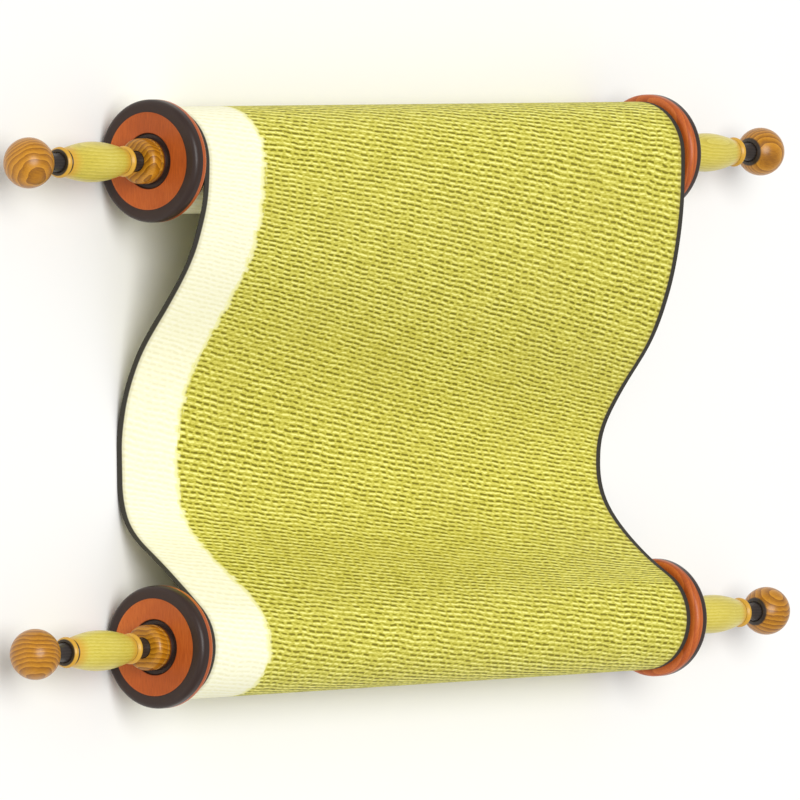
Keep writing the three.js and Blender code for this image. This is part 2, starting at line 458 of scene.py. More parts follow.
polished_olive = turned_wood(
    "polished_olive_wood",
    colours=("#663701", "#ae720b", "#d69526"),
    log={
        "ring_width": 2.8 * MM,
        "ring_strength": 0.4,
        "swirl": 9.0,
        "heart": (0.02, -0.17, -0.06),
        "grain": (0.0, math.radians(24), math.radians(12)),
    },
    roughness=0.36,
    polish=0.25,
    decorate=burn_joints,
)

# %% [markdown]
# Boxwood is pale yellow and so fine that it hardly shows pores. The beads at both ends of a
# grip are stained golden, and the golden colour fades a little way into the pale wood as painted
# shade, darker towards the grip's ends. Thin burnt lines mark both edges of each bead.

# %% Polished boxwood for the grips
GRIP_INNER_X = BACK_RIGHT["grip"][0].x
GRIP_OUTER_X = BACK_RIGHT["grip"][1].x
GRIP_BEAD_LENGTH = 5 * MM
# The golden colour at each end is stain on the beads and, where it fades into the pale wood,
# painted shade darkening the grip towards its ends.
GOLDEN_STAIN_AND_SHADE = "#d39a2c"
STAIN_AND_SHADE_STRENGTH = 0.85
STAIN_AND_SHADE_START = 4 * MM
STAIN_AND_SHADE_END = 15 * MM
LINE_HALF_WIDTH = 0.45 * MM


def stain_shade_and_burn_beads(tree, place, colour):
    """Stains the grip's ends golden, fading inward as painted shade, and burns a line at each edge
    of its beads.
    """
    along = along_roller(tree, place)
    stain_and_shade_masks, lines = [], []
    for end, inward in ((GRIP_INNER_X, 1), (GRIP_OUTER_X, -1)):
        pale, golden = end + inward * STAIN_AND_SHADE_END, end + inward * STAIN_AND_SHADE_START
        fade = [along, pale, golden, 0, STAIN_AND_SHADE_STRENGTH]
        stain_and_shade_masks.append(add_node(tree, "MapRange", fade, **SMOOTHLY))
        for edge in (end, end + inward * GRIP_BEAD_LENGTH):
            line_start, line_end = edge - LINE_HALF_WIDTH, edge + LINE_HALF_WIDTH
            lines.append(band(tree, along, line_start, line_end, soft=0.25 * MM))
    stain_and_shade = add_node(tree, "Math", stain_and_shade_masks, operation="MAXIMUM")
    stained_and_shaded = add_node(tree, "Mix", [stain_and_shade, colour, GOLDEN_STAIN_AND_SHADE], **IN_COLOUR)
    return burn(tree, stained_and_shaded, lines)


polished_boxwood = turned_wood(
    "polished_boxwood",
    colours=("#a3902a", "#d0be47", "#ebe07c"),
    log={
        "ring_width": 1.9 * MM,
        "ring_strength": 0.2,
        "swirl": 3.0,
        "heart": (0.0, -0.165, -0.05),
        "grain": (0.0, 0.0, math.radians(2)),
    },
    roughness=0.38,
    polish=0.2,
    decorate=stain_shade_and_burn_beads,
)

# %% [markdown]
# Pear wood is often dyed black to stand in for ebony. It isn't quite black, and the grain
# still shows in the shine.

# %% Ebonised pear for the poles
ebonised_pear = turned_wood(
    "ebonised_pear",
    colours=("#17120f", "#29211d", "#3b312a"),
    log={
        "ring_width": 1.8 * MM,
        "ring_strength": 0.3,
        "swirl": 3.0,
        "heart": (0.0, -0.16, -0.045),
        "grain": (0.0, 0.0, 0.0),
    },
    roughness=0.4,
    polish=0.2,
)

# %% [markdown]
# ## The discs
#
# A disc keeps the long edge of the parchment from slipping off the roll. It is a slice of
# board with a hole, turned on both faces: rounded edges, a face that is sunk a little inside
# its rim, and a groove round the foot of the collar. The outline's corners are drawn first,
# then some are rounded. After the spin, one bisect cuts the small flat that it stands on.

# %% Draw the disc's outline
BORE_RADIUS = 6.3 * MM
SEAT_RADIUS = COLLAR_RADIUS - 0.2 * MM  # of the raised ring that carries the collar
SEAT_SLOPE = 0.7 * MM
DISH_DEPTH = 0.6 * MM
DISH_SLOPE = 1.2 * MM
GROOVE_DEPTH = 1.1 * MM
GROOVE_SLOPE = 0.8 * MM
dish_x = DISC_OUTER_X - DISH_DEPTH
groove_x = dish_x - GROOVE_DEPTH
groove_end = COLLAR_RADIUS + GROOVE_WIDTH
disc_corners = [
    (DISC_INNER_X, BORE_RADIUS),
    (DISC_INNER_X, DISC_RADIUS),
    (DISC_OUTER_X, DISC_RADIUS),
    (DISC_OUTER_X, RIM_BAND_START),
    (dish_x, RIM_BAND_START - DISH_SLOPE),
    (dish_x, groove_end),
    (groove_x, groove_end - GROOVE_SLOPE),
    (groove_x, SEAT_RADIUS + SEAT_SLOPE),
    (DISC_OUTER_X, SEAT_RADIUS),
    (DISC_OUTER_X, BORE_RADIUS),
]
disc = draw_outline(disc_corners)
print("the disc's outline has", len(disc_corners), "corners")

# %% Turn the disc
round_corners(disc, DISC_RADIUS, radius=3.5 * MM, segments=8)
round_corners(disc, groove_end, radius=0.4 * MM, segments=3)
round_corners(disc, RIM_BAND_START, radius=0.5 * MM, segments=3)
spin_outline()
bpy.ops.mesh.select_all(action="SELECT")
bpy.ops.mesh.remove_doubles(threshold=SEAM)
bpy.ops.mesh.bisect(
    plane_co=(0, 0, 0), plane_no=(0, 0, -1), use_fill=True, clear_outer=True, threshold=SEAM
)
settle(disc, "turned_disc_back_right", oiled_padauk)

# %% [markdown]
# ## The collars
#
# The collar, or boss, stands against the disc and hides the glued joint. It starts as a plain
# cylinder. Four bisects split its side, and the middle two of the new loops are drawn inward,
# which leaves a bead round its foot. Its ends are inset and bridged, which bores the hole for
# the pole, and then both rims are bevelled round, the outer one most.

# %% Cut the collar's bead
COLLAR_OUTER_X = BACK_RIGHT["collar"][1].x
CUT_SHARE = 0.93  # what the cut behind the bead leaves of the radius
bead_cuts = [COLLAR_INNER_X + cut * MM for cut in (2.4, 2.9, 3.4, 3.9)]

start_fresh()
bpy.ops.mesh.primitive_cylinder_add(
    vertices=LATHE_STEPS,
    radius=COLLAR_RADIUS,
    depth=COLLAR_OUTER_X - COLLAR_INNER_X,
    location=((COLLAR_INNER_X + COLLAR_OUTER_X) / 2, AXIS_Y, AXIS_Z),
    rotation=(0, math.radians(90), 0),
)
collar = bpy.context.object
bpy.ops.object.transform_apply(location=True, rotation=True, scale=True)
bpy.ops.object.mode_set(mode="EDIT")
for cut_x in bead_cuts:
    bpy.ops.mesh.select_all(action="SELECT")
    bpy.ops.mesh.bisect(plane_co=(cut_x, 0, 0), plane_no=(1, 0, 0), threshold=SEAM)
pick_points(collar, lambda along, out: bead_cuts[1] - HAIR < along < bead_cuts[2] + HAIR)
bpy.ops.transform.resize(
    value=(1, CUT_SHARE, CUT_SHARE), center_override=(0, AXIS_Y, AXIS_Z), orient_type="GLOBAL"
)
print(f"bead cut {(1 - CUT_SHARE) * COLLAR_RADIUS / MM:.1f} mm deep")

# %% Bore and round the collar
pick_points(
    collar, lambda along, out: not COLLAR_INNER_X + HAIR < along < COLLAR_OUTER_X - HAIR
)
bpy.ops.mesh.inset(thickness=COLLAR_RADIUS - BORE_RADIUS)
bpy.ops.mesh.bridge_edge_loops()
for end_x, rounding, segments in ((COLLAR_OUTER_X, 3.4 * MM, 8), (COLLAR_INNER_X, 0.9 * MM, 4)):
    rim = (end_x, COLLAR_RADIUS)
    pick_points(collar, lambda along, out: math.dist((along, out), rim) < HAIR)
    bpy.ops.mesh.bevel(offset=rounding, segments=segments, affect="EDGES")
settle(collar, "turned_collar_back_right", polished_olive)

# %% [markdown]
# ## The grips
#
# The grip is shaped like an olive so that it fills a closed hand. Its swell is half a sine
# wave, drawn as a string of short steps between two beads, each bead a half round.

# %% Turn the grip
GRIP_RADIUS = 12 * MM
GRIP_SHOULDER = 8 * MM
BEAD_RADIUS = 9.2 * MM
BEAD_ROOT = 7.4 * MM
QUIRK = 0.5 * MM  # the short slope between a bead and the swell


def swell(start, length, low, high, steps):
    """Points of a half sine wave from low up to high and back."""
    points = []
    for step in range(steps + 1):
        share = step / steps
        points.append((start + length * share, low + (high - low) * math.sin(math.pi * share)))
    return points


bead_length = GRIP_BEAD_LENGTH - QUIRK
body_start = GRIP_INNER_X + GRIP_BEAD_LENGTH
body_length = GRIP_OUTER_X - GRIP_INNER_X - 2 * GRIP_BEAD_LENGTH
grip_corners = [
    (GRIP_INNER_X, BORE_RADIUS),
    *swell(GRIP_INNER_X, bead_length, BEAD_ROOT, BEAD_RADIUS, steps=8),
    *swell(body_start, body_length, GRIP_SHOULDER, GRIP_RADIUS, steps=28),
    *swell(GRIP_OUTER_X - bead_length, bead_length, BEAD_ROOT, BEAD_RADIUS, steps=8),
    (GRIP_OUTER_X, BORE_RADIUS),
]
grip = draw_outline(grip_corners)
spin_outline()
settle(grip, "turned_grip_back_right", polished_boxwood, smooth_angle=50)

# %% [markdown]
# ## The balls
#
# The ball at the tip starts as a sphere with its poles on the roller's axis. A bisect opens
# it where the pole goes in, and the edge of the hole is drawn inward as a short socket.

# %% Turn the ball
BALL_RADIUS = 15 * MM
BALL_CENTRE_X = BACK_RIGHT["ball"][1].x - BALL_RADIUS
SOCKET_DEPTH = 13 * MM
mouth_radius = math.sqrt(BALL_RADIUS**2 - (BALL_CENTRE_X - BALL_MOUTH_X) ** 2)

start_fresh()
bpy.ops.mesh.primitive_uv_sphere_add(
    segments=LATHE_STEPS,
    ring_count=LATHE_STEPS // 2,
    radius=BALL_RADIUS,
    location=(BALL_CENTRE_X, AXIS_Y, AXIS_Z),
    rotation=(0, math.radians(90), 0),
)
ball = bpy.context.object
bpy.ops.object.transform_apply(location=True, rotation=True, scale=True)
bpy.ops.object.mode_set(mode="EDIT")
bpy.ops.mesh.select_all(action="SELECT")
bpy.ops.mesh.bisect(
    plane_co=(BALL_MOUTH_X, 0, 0),
    plane_no=(1, 0, 0),
    use_fill=True,
    clear_inner=True,
    threshold=SEAM,
)
bpy.ops.mesh.inset(thickness=mouth_radius - BORE_RADIUS)
bpy.ops.mesh.extrude_region_move(TRANSFORM_OT_translate={"value": (SOCKET_DEPTH, 0, 0)})
settle(ball, "turned_ball_back_right", polished_olive, smooth_angle=60)

# %% [markdown]
# ## The poles
#
# The pole carries everything. Its thick barrel is hidden in the roll, and its thin ends show
# as the dark necks. Each neck is waisted a little, as a turner frees the two shapes beside it.

# %% Turn the pole
BARREL_RADIUS = 12 * MM
SPIGOT_RADIUS = 6 * MM
WAIST_RADIUS = SPIGOT_RADIUS - 0.8 * MM
INNER_TAPER = 2.5 * MM
OUTER_TAPER = 3.5 * MM
GLUE_GAP = 0.3 * MM
POLE_END_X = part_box("pole_back")[1].x
barrel_x = DISC_INNER_X - GLUE_GAP
right_half = [
    (barrel_x, BARREL_RADIUS),
    (barrel_x, SPIGOT_RADIUS),
    (COLLAR_OUTER_X, SPIGOT_RADIUS),
    (COLLAR_OUTER_X + INNER_TAPER, WAIST_RADIUS),
    (GRIP_INNER_X - INNER_TAPER, WAIST_RADIUS),
    (GRIP_INNER_X, SPIGOT_RADIUS),
    (GRIP_OUTER_X, SPIGOT_RADIUS),
    (GRIP_OUTER_X + OUTER_TAPER, WAIST_RADIUS),
    (BALL_MOUTH_X - OUTER_TAPER, WAIST_RADIUS),
    (BALL_MOUTH_X, SPIGOT_RADIUS),
    (POLE_END_X, SPIGOT_RADIUS),
    (POLE_END_X, 0),
]
left_half = [(-along, out) for along, out in reversed(right_half)]
pole = draw_outline(left_half + right_half, closed=False)
round_corners(pole, WAIST_RADIUS, radius=1.6 * MM, segments=4)
spin_outline()
settle(pole, "turned_pole_back", ebonised_pear)

# %% [markdown]
# ## Copies for the other corners
#
# The four ends of a scroll are alike, so each turned piece was made once, for the back right.
# A copy moved by the rollers' distance stands at the front, and half a turn round the middle
# takes a copy to the opposite corner. Every copy gets its own mesh, because its place is kept
# there. Each piece then rides on the model's one body and stands in for its solid, which is hidden.

# %% Helpers for copies
def copy_piece(piece, name, shift=(0, 0, 0), half_turn=False):
    """Copies a piece with its own mesh, moves it, and turns it half round the middle if asked."""
    start_fresh()
    piece.select_set(True)
    bpy.context.view_layer.objects.active = piece
    bpy.ops.object.duplicate(linked=False)
    copy = bpy.context.object
    bpy.ops.transform.translate(value=shift)
    if half_turn:
        bpy.ops.transform.rotate(value=math.pi, orient_axis="Z", center_override=(0, 0, 0))
    bpy.ops.object.transform_apply(location=True, rotation=True, scale=True)
    copy.name = name
    copy.data.name = name
    return copy


def dress(piece, node):
    """Puts the piece on the model's body and hides the node of the solid model that it stands for.
    """
    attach(piece, "root")
    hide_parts(node)


# %% Copy the turned pieces
TO_FRONT = (0, -2 * AXIS_Y, 0)
turned = {
    "disc": (disc, "red_wood"),
    "collar": (collar, "golden_wood"),
    "grip": (grip, "pale_wood"),
    "ball": (ball, "golden_wood"),
}
for kind, (piece, slot) in turned.items():
    front_right = copy_piece(piece, f"turned_{kind}_front_right", TO_FRONT)
    corners = {
        "back_right": piece,
        "front_right": front_right,
        "front_left": copy_piece(piece, f"turned_{kind}_front_left", half_turn=True),
        "back_left": copy_piece(front_right, f"turned_{kind}_back_left", half_turn=True),
    }
    for corner, copy in corners.items():
        dress(copy, f"{kind}_{corner}")
front_pole = copy_piece(pole, "turned_pole_front", TO_FRONT)
dress(pole, "pole_back")
dress(front_pole, "pole_front")

# %% [markdown]
# ## The line that the parchment follows
#
# Seen from the end, the sheet is one line. It winds out of the back roll turn by turn, leaves
# it level at the top, sags to the table in a long easy curve, climbs onto the front roll, and
# winds in. A cloth simulation could find such a line, but parchment is too stiff to drape: it
# keeps the curl of its roll. So the loose stretch is two Bezier curves with the same ends and
# handles as the solid model's, and each roll is a spiral.

# %% Curves for the line
SHEET_THICKNESS = 0.5 * MM
HALF_SOLID = 0.4 * MM  # the solid's sheet is 0.8 mm thick, and the line is its middle
LINE_RADIUS = ROLL_RADIUS - HALF_SOLID
LINE_STEP = 1.0 * MM
TURN_PITCH = 0.95 * MM


def bezier(start, first_handle, second_handle, end, steps):
    """Points of a cubic Bezier curve, without the first one."""
    points = []
    for step in range(1, steps + 1):
        share = step / steps
        rest = 1 - share
        points.append(
            start * rest**3
            + first_handle * 3 * share * rest**2
            + second_handle * 3 * share**2 * rest
            + end * share**3
        )
    return points


def wind_in(centre_y, from_angle, turn_way):
    """A roll's spiral from where the sheet leaves it inward, as (y, z) places."""
    points, angle, radius = [], 0.0, LINE_RADIUS
    while radius > BARREL_RADIUS + SHEET_THICKNESS:
        place = from_angle + turn_way * angle
        points.append(
            Vector((centre_y + radius * math.sin(place), AXIS_Z + radius * math.cos(place)))
        )
        angle += LINE_STEP / radius
        radius = LINE_RADIUS - TURN_PITCH * angle / (2 * math.pi)
    return points


# %% [markdown]
# The sheet hangs a little askew: its left edge falls sooner than its right edge. So there are
# two loose stretches, one for each edge, and the sheet runs straight across between them. The
# trough is how far the lowest point is from the front roller's axis, and the handles are shares
# of the run that they belong to.

# %% The loose stretch
TROUGH_HEIGHT = PARCHMENT_LOW.z + HALF_SOLID
LANDING_ANGLE = math.radians(46)
LEFT_SAG = {"trough": 108 * MM, "leave": 0.48, "reach": 0.5, "climb": 0.46, "land": 0.54}
RIGHT_SAG = {"trough": 95 * MM, "leave": 0.72, "reach": 0.3, "climb": 0.41, "land": 0.13}


def sag_line(leave, land, sag):
    """The loose stretch from the back roll to the front one, without its first point."""
    trough = Vector((-AXIS_Y + sag["trough"], TROUGH_HEIGHT))
    back_run, front_run = leave.x - trough.x, sag["trough"]
    land_way = Vector((math.cos(LANDING_ANGLE), -math.sin(LANDING_ANGLE)))
    fall = bezier(
        leave,
        leave - Vector((sag["leave"] * back_run, 0)),
        trough + Vector((sag["reach"] * back_run, 0)),
        trough,
        steps=200,
    )
    climb = bezier(
        trough,
        trough - Vector((sag["climb"] * front_run, 0)),
        land + land_way * sag["land"] * front_run,
        land,
        steps=120,
    )
    return fall + climb


# %% Draw the line
back_spiral = wind_in(AXIS_Y, 0.0, 1)
front_spiral = wind_in(-AXIS_Y, LANDING_ANGLE, -1)
left_line, right_line = (
    back_spiral[::-1] + sag_line(back_spiral[0], front_spiral[0], sag) + front_spiral[1:]
    for sag in (LEFT_SAG, RIGHT_SAG)
)
middle_line = [(left + right) / 2 for left, right in zip(left_line, right_line)]

lengths = [0.0]
for before, after in zip(middle_line, middle_line[1:]):
    lengths.append(lengths[-1] + (after - before).length)
SHEET_LENGTH = lengths[-1]
LOOSE_START = lengths[len(back_spiral) - 1]
LOOSE_END = lengths[-len(front_spiral)]
print(f"sheet {SHEET_LENGTH:.2f} m long, {LOOSE_END - LOOSE_START:.3f} m of it loose")

# %% [markdown]
# ## The sheet, flat
#
# The sheet starts as it was made: flat. It is a grid of its full width and length, so its own
# UV map is the flat sheet, and a pattern drawn on it stays true to size wherever it bends.
# Inside the rolls only the edges can be seen, so there each row is one long face. The loose
# stretch and the outer turns are cut across into faces of 4 mm, enough for soft waves.

# %% Cut the flat sheet
FACE_SIZE = 4 * MM
outer_turn = 1.1 * 2 * math.pi * ROLL_RADIUS  # the turn that shows, and a little more
fine_start = LOOSE_START - outer_turn
fine_end = LOOSE_END + outer_turn

start_fresh()
bpy.ops.mesh.primitive_grid_add(
    x_subdivisions=1, y_subdivisions=round(SHEET_LENGTH / FACE_SIZE), size=1
)
sheet = bpy.context.object
bpy.ops.object.mode_set(mode="EDIT")
bpy.ops.transform.resize(value=(PARCHMENT_WIDTH, SHEET_LENGTH, 1))
bpy.ops.transform.translate(value=(0, SHEET_LENGTH / 2, 0))
bpy.ops.mesh.select_mode(type="EDGE")
bpy.ops.mesh.select_all(action="DESELECT")
bpy.ops.object.mode_set(mode="OBJECT")
for edge in sheet.data.edges:
    first, second = (sheet.data.vertices[number].co for number in edge.vertices)
    edge.select = abs(first.y - second.y) < HAIR and fine_start < first.y < fine_end
bpy.ops.object.mode_set(mode="EDIT")
bpy.ops.mesh.subdivide(number_cuts=round(PARCHMENT_WIDTH / FACE_SIZE) - 1)
bpy.ops.object.mode_set(mode="OBJECT")
print("flat sheet:", len(sheet.data.polygons), "faces")

# %% [markdown]
# ## The sheet, wound
#
# Now every point keeps its place across the sheet, and its place along the sheet is looked up
# on the line. Skin that was stretched to dry is never quite flat, so the loose stretch also
# gets low waves, strongest near its long edges, which fade out towards the rolls, where the
# turns press each other flat.

# %% Helpers for winding
WAVE_HEIGHT = 0.7 * MM
BACK_FADE = 60 * MM
FRONT_FADE = 40 * MM
# Each is the waves in a metre across, those in a metre along, and a slice of the noise
BROAD_WAVES = (9, 14, 3.1)
RIPPLES = (16, 26, 8.7)


def place_on_line(line, distance):
    """The place and the upward direction of a line, that far along the middle of the sheet."""
    distance = max(0.0, min(distance, SHEET_LENGTH))
    here = max(1, min(bisect.bisect_left(lengths, distance), len(lengths) - 1))
    part = (distance - lengths[here - 1]) / (lengths[here] - lengths[here - 1])
    way = (line[min(here + 1, len(line) - 1)] - line[max(here - 2, 0)]).normalized()
    return line[here - 1].lerp(line[here], part), Vector((way.y, -way.x))


def smooth_share(value):
    """The value held between 0 and 1, with a soft start and a soft end."""
    value = max(0.0, min(1.0, value))
    return value * value * (3 - 2 * value)


def wave_at(across, distance):
    """How far the dried skin stands off its line."""
    fade = smooth_share((distance - LOOSE_START) / BACK_FADE)
    fade *= smooth_share((LOOSE_END - distance) / FRONT_FADE)
    edge = abs(across) / (PARCHMENT_WIDTH / 2)
    broad, ripple = (
        noise.noise(Vector((across * waves_across, distance * waves_along, noise_slice)))
        for waves_across, waves_along, noise_slice in (BROAD_WAVES, RIPPLES)
    )
    return WAVE_HEIGHT * fade * (broad + (0.5 + edge**3) * ripple)


# %% Wind the sheet
row_places = {}  # each row of points is looked up once
for point in sheet.data.vertices:
    across, distance = point.co.x, point.co.y
    row = round(distance / HAIR)
    if row not in row_places:
        row_places[row] = [place_on_line(line, distance) for line in (left_line, right_line)]
    (left, left_up), (right, right_up) = row_places[row]
    share = across / PARCHMENT_WIDTH + 0.5
    place = left.lerp(right, share) + left_up.lerp(right_up, share) * wave_at(across, distance)
    point.co = (across, place.x, max(place.y, TROUGH_HEIGHT))

bpy.context.view_layer.objects.active = sheet
sheet.select_set(True)
solidify = sheet.modifiers.new("skin thickness", "SOLIDIFY")
solidify.thickness = SHEET_THICKNESS
solidify.offset = 0
bpy.ops.object.modifier_apply(modifier=solidify.name)
sheet.name = "wound_parchment"
sheet.data.name = "wound_parchment"
bpy.ops.object.shade_smooth_by_angle(angle=math.radians(40))
print("wound parchment:", len(sheet.data.polygons), "faces")

# %% [markdown]
# ## Scraped parchment
#
# Parchment is animal skin, limed, stretched and scraped, then rubbed with chalk. The picture
# shows a khaki field covered with short dashes in slightly slanting rows along the rollers,
# and a paler cream band down the left long edge, which is a painted highlight. Goat parchment
# has such a grain: on the hair side the follicles stay as short dashes in close rows. Here the
# rows are 3.3 mm apart and the dashes 7.6 mm, as in the picture, which is several times coarser
# than on real skin.
#
# An image of parchment could be used, but its dashes would repeat. Instead the sheet is
# counted into slanting rows and each row into dashes, and the rows stray a little.

# %% Scraped goat parchment: counting rows and dashes
ROW_PITCH = 3.3 * MM
ROW_SLANT = 0.11
ROW_STRAY = 0.9
STRAY_SIZE = 18 * MM
DASH_PITCH = 7.6 * MM
DASH_SHIFT = 0.3  # in dashes from row to row, beside the chance shift that each row gets

scraped_parchment, tree = start_material("scraped_goat_parchment")
flat_place = add_node(tree, "TexCoord").outputs["UV"]
flat_size = (PARCHMENT_WIDTH, SHEET_LENGTH, 1)
unrolled = add_node(tree, "Mapping", {"Vector": flat_place, "Scale": flat_size})
from_left, from_start, _ = add_node(tree, "SeparateXYZ", [unrolled]).outputs
stray = add_node(tree, "TexNoise", {"Vector": unrolled, "Scale": 1 / STRAY_SIZE, "Detail": 2.0})

rows = add_node(tree, "Math", [stray, ROW_STRAY], operation="MULTIPLY")
rows = add_node(tree, "Math", [from_start, 1 / ROW_PITCH, rows], operation="MULTIPLY_ADD")
rows = add_node(tree, "Math", [from_left, -ROW_SLANT / ROW_PITCH, rows], operation="MULTIPLY_ADD")
row_number = add_node(tree, "Math", [rows], operation="FLOOR")
in_row = add_node(tree, "Math", [rows], operation="FRACT")

dashes = add_node(tree, "TexWhiteNoise", [row_number], noise_dimensions="1D")
dashes = add_node(tree, "Math", [row_number, DASH_SHIFT, dashes], operation="MULTIPLY_ADD")
dashes = add_node(tree, "Math", [from_left, 1 / DASH_PITCH, dashes], operation="MULTIPLY_ADD")
dash_number = add_node(tree, "Math", [dashes], operation="FLOOR")
in_dash = add_node(tree, "Math", [dashes], operation="FRACT")
print(f"{SHEET_LENGTH / ROW_PITCH:.0f} rows of {PARCHMENT_WIDTH / DASH_PITCH:.0f} dashes")

# %% [markdown]
# Each cell of the count holds one dark dash, where the follicles sit, and one painted highlight,
# a pale glint beside it. A white noise gives each of them its own strength and length.

# %% Scraped goat parchment: the dashes
# How far from its middle a dash is full, from where it is faint, and how much shorter chance
# can make it, all in shares of its pitch
FULL_TO, FAINT_FROM, LENGTH_SPREAD = 0.28, 0.64, 0.2
FAINT = 0.15

cell = add_node(tree, "CombineXYZ", [dash_number, row_number])
chances = add_node(tree, "TexWhiteNoise", [cell], noise_dimensions="2D").outputs["Color"]
dash_chance, glint_chance, length_chance = add_node(tree, "SeparateColor", [chances]).outputs

from_middle = add_node(tree, "Math", [in_dash, 0.5], operation="SUBTRACT")
from_middle = add_node(tree, "Math", [from_middle], operation="ABSOLUTE")
shortened = add_node(
    tree, "Math", [length_chance, LENGTH_SPREAD, from_middle], operation="MULTIPLY_ADD"
)
in_length = add_node(tree, "MapRange", [shortened, FAINT_FROM, FULL_TO, FAINT, 1], **SMOOTHLY)


def stroke(centre, half_width, chance, weakest):
    """A stroke along the row, dark or pale, whose strength follows its own chance."""
    off_centre = add_node(tree, "Math", [in_row, centre], operation="SUBTRACT")
    off_centre = add_node(tree, "Math", [off_centre], operation="ABSOLUTE")
    profile = add_node(tree, "MapRange", [off_centre, half_width, 0, 0, 1], **SMOOTHLY)
    strength = add_node(tree, "MapRange", [chance, 0, 0.7, weakest, 1], **SMOOTHLY)
    mark = add_node(tree, "Math", [profile, in_length], operation="MULTIPLY")
    return add_node(tree, "Math", [mark, strength], operation="MULTIPLY")


dash = stroke(centre=0.34, half_width=0.33, chance=dash_chance, weakest=0.45)
# The pale stroke is a painted highlight: a glint beside each dash.
painted_glint = stroke(centre=0.8, half_width=0.26, chance=glint_chance, weakest=0.3)
print("parchment grain:", len(tree.nodes), "nodes")

# %% [markdown]
# The grain sets one tone: the skin's own fibres, darker in the dashes and paler on the painted
# glints. Two ramps colour it, khaki for the field and cream for the band of painted highlight,
# and broad blotches are left in the field from the scraping.

# %% Scraped goat parchment: the two colours
FIBRE_LENGTH, FIBRE_WIDTH = 4 * MM, 0.9 * MM  # coarser than real ones, which would not show
BLOTCH_SIZE = 60 * MM
ALL_PALER = 0.04
# how much the painted highlights, the glints, lighten the tone
GLINT_PALER = 0.44
DASH_DARKER = 0.68
KHAKI_STOPS = ((0.05, "#787004"), (0.35, "#b6ae32"), (0.6, "#dad35c"), (0.9, "#fbf792"))
# The cream stops colour a painted highlight: a paler band down the left long edge of the sheet.
HIGHLIGHT_CREAM_STOPS = ((0.0, "#f4f0c9"), (0.6, "#fdfbdb"), (0.95, "#fffde6"))

stretch = (1 / FIBRE_LENGTH, 1 / FIBRE_WIDTH, 1)
stretched = add_node(tree, "Mapping", {"Vector": unrolled, "Scale": stretch})
fibres = add_node(tree, "TexNoise", {"Vector": stretched, "Scale": 1.0, "Detail": 3.0})
blotches = add_node(tree, "TexNoise", {"Vector": unrolled, "Scale": 1 / BLOTCH_SIZE, "Detail": 3.0})
tone = add_node(tree, "Math", [fibres, ALL_PALER], operation="ADD")
tone = add_node(tree, "Math", [painted_glint, GLINT_PALER, tone], operation="MULTIPLY_ADD")
tone = add_node(tree, "Math", [dash, -DASH_DARKER, tone], operation="MULTIPLY_ADD")
khaki = add_node(tree, "ValToRGB", [tone], stops=KHAKI_STOPS)
highlight_cream = add_node(tree, "ValToRGB", [tone], stops=HIGHLIGHT_CREAM_STOPS)
blotched = add_node(tree, "MapRange", [blotches, 0.35, 0.7, 0, 0.15], **SMOOTHLY)
khaki = add_node(tree, "Mix", [blotched, khaki, "#c4b84a"], **IN_COLOUR)
print("khaki of", len(KHAKI_STOPS), "tones and cream of", len(HIGHLIGHT_CREAM_STOPS))

# %% [markdown]
# The band of painted highlight and the field meet in a ragged yellow fringe, which the fibres
# and the dashes push to and fro by a few millimetres. Both long edges are dark from handling, with
# a brown halo.

# %% Scraped goat parchment: the band of painted highlight
# A painted highlight: a paler cream band down the left long edge, fading through a yellow fringe
# into the khaki field.
HIGHLIGHT_BAND_WIDTH = 60 * MM
FRINGE = 5 * MM
FIBRE_PUSH = 3 * MM
DASH_PUSH = 3.4 * MM
highlight_band_end = HIGHLIGHT_BAND_WIDTH + (FIBRE_PUSH + DASH_PUSH) / 2

ragged = add_node(tree, "Math", [fibres, FIBRE_PUSH, from_left], operation="MULTIPLY_ADD")
ragged = add_node(tree, "Math", [length_chance, DASH_PUSH, ragged], operation="MULTIPLY_ADD")
to_fringe, to_field = (
    add_node(
        tree,
        "MapRange",
        [ragged, highlight_band_end + start * FRINGE, highlight_band_end + end * FRINGE, 0, 1],
        **SMOOTHLY,
    )
    for start, end in ((-1.0, -0.35), (-0.3, 0.3))
)
skin = add_node(tree, "Mix", [to_fringe, highlight_cream, "#f4f0ac"], **IN_COLOUR)
skin = add_node(tree, "Mix", [to_field, skin, khaki], **IN_COLOUR)
print(f"margin {HIGHLIGHT_BAND_WIDTH / MM:.0f} mm wide, with a fringe of {FRINGE / MM:.0f} mm")

# %% Scraped goat parchment: the dark edges
DARK_EDGE = 5 * MM
HALO_WIDTH = 4 * MM
BLOTCH_PUSH = 1.6 * MM
dark_end = DARK_EDGE + BLOTCH_PUSH / 2

from_right = add_node(tree, "Math", [PARCHMENT_WIDTH, from_left], operation="SUBTRACT")
from_edge = add_node(tree, "Math", [from_left, from_right], operation="MINIMUM")
worn = add_node(tree, "Math", [blotches, BLOTCH_PUSH, from_edge], operation="MULTIPLY_ADD")
halo = add_node(tree, "MapRange", [worn, dark_end + HALO_WIDTH, dark_end, 0, 0.3], **SMOOTHLY)
dark = add_node(tree, "MapRange", [worn, dark_end, dark_end - 1.2 * MM, 0, 1], **SMOOTHLY)
skin = add_node(tree, "Mix", [halo, skin, "#8d7a3c"], **IN_COLOUR)
skin = add_node(tree, "Mix", [dark, skin, "#35322b"], **IN_COLOUR)
print(f"both long edges dark for {DARK_EDGE / MM:.0f} mm")

# %% [markdown]
# Scraped and chalked skin is matt. Its roughness follows the fibres, and the dashes are
# shallow pits in its relief.

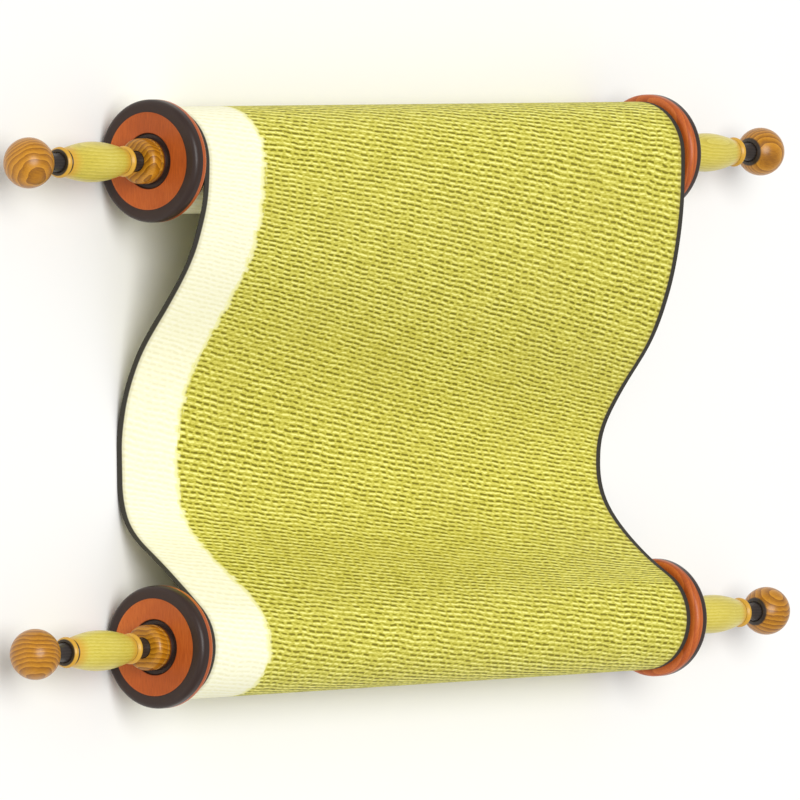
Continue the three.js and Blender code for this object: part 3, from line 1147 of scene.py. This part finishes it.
# %% Scraped goat parchment: the surface
SKIN_RELIEF = 0.25 * MM
rough = add_node(tree, "Math", [fibres, 0.2, 0.55], operation="MULTIPLY_ADD")
height = add_node(tree, "Math", [fibres, dash], operation="SUBTRACT")
relief = add_node(tree, "Bump", {"Height": height, "Strength": 0.3, "Distance": SKIN_RELIEF})
finish_material(
    tree,
    {
        "Base Color": skin,
        "Roughness": rough,
        "Normal": relief,
        "IOR": 1.5,
        "Specular IOR Level": 0.3,
    },
)
sheet.data.materials.append(scraped_parchment)

# %% [markdown]
# Last, the sheet rides on the model's one body, and the solid's parchment is hidden.

# %% Put the sheet on the body
dress(sheet, "parchment")
print(f"flat, the sheet is {PARCHMENT_WIDTH / MM:.0f} mm by {SHEET_LENGTH:.2f} m")

# %% [markdown]
# ## The table and the light
#
# A plain pale table, a big soft light from above the left, and an even sky of studio white
# keep the colours true and the shadows soft.

# %% Table
TABLE_SIZE = 120  # so large that its edge never shows

start_fresh()
bpy.ops.mesh.primitive_plane_add(size=TABLE_SIZE, location=(0, 0, 0))
table = bpy.context.object
table.name = "plain_table"
pale_table, tree = start_material("pale_table")
finish_material(tree, {"Base Color": "#f6f5f2", "Roughness": 0.8})
table.data.materials.append(pale_table)

# %% Lights
SKY_STRENGTH = 0.58
SUN_STRENGTH = 2.05
SUN_ROTATION = (math.radians(-9), math.radians(-30), 0)
SUN_WIDTH = math.radians(35)

world = bpy.data.worlds.new("studio_white")
bpy.context.scene.world = world
world.use_nodes = True
sky = world.node_tree.nodes["Background"]
sky.inputs["Color"].default_value = linear("#ffffff")
sky.inputs["Strength"].default_value = SKY_STRENGTH

start_fresh()
bpy.ops.object.light_add(type="SUN", rotation=SUN_ROTATION)
sun = bpy.context.object
sun.name = "soft_key"
sun.data.energy = SUN_STRENGTH
sun.data.angle = SUN_WIDTH
bpy.context.scene.view_settings.view_transform = "Standard"
print(f"a sun of strength {SUN_STRENGTH} and a sky of strength {SKY_STRENGTH}")

# %% [markdown]
# ## The camera
#
# The picture looks down at the scroll from its left, 36 degrees above the table, with the
# rollers level across the frame and the back roller on top. It shows hardly any perspective,
# so the camera stands far off, with a long lens.

# %% Camera
ELEVATION = math.radians(36)
SWING = math.radians(-1.3)
ROLL = math.radians(-0.73)
DISTANCE = 9.0
FRAME_WIDTH = 0.4863  # what the frame covers at the scroll's distance
FRAME_PIXELS = 800
ASIDE_PIXELS = Vector((38.3, 5.5))  # the frame's middle is this far right of and below the origin
SENSOR_WIDTH = 36

to_camera = Vector(
    (
        -math.cos(ELEVATION) * math.cos(SWING),
        -math.cos(ELEVATION) * math.sin(SWING),
        math.sin(ELEVATION),
    )
)
level_up = Vector((0, 1, 0)) - to_camera * to_camera.y
level_up.normalize()
level_right = level_up.cross(to_camera)
right = level_right * math.cos(ROLL) + level_up * math.sin(ROLL)
up = level_up * math.cos(ROLL) - level_right * math.sin(ROLL)
aside = ASIDE_PIXELS * FRAME_WIDTH / FRAME_PIXELS

start_fresh()
bpy.ops.object.camera_add()
camera = bpy.context.object
camera.name = "picture_camera"
camera.data.sensor_width = SENSOR_WIDTH
camera.data.lens = SENSOR_WIDTH * DISTANCE / FRAME_WIDTH
camera.data.clip_end = 200
camera.matrix_world = Matrix((right, up, to_camera)).transposed().to_4x4()
camera.location = to_camera * DISTANCE + right * aside.x - up * aside.y
bpy.context.scene.camera = camera
print(f"camera {DISTANCE} m away, with a lens of {camera.data.lens:.0f} mm")
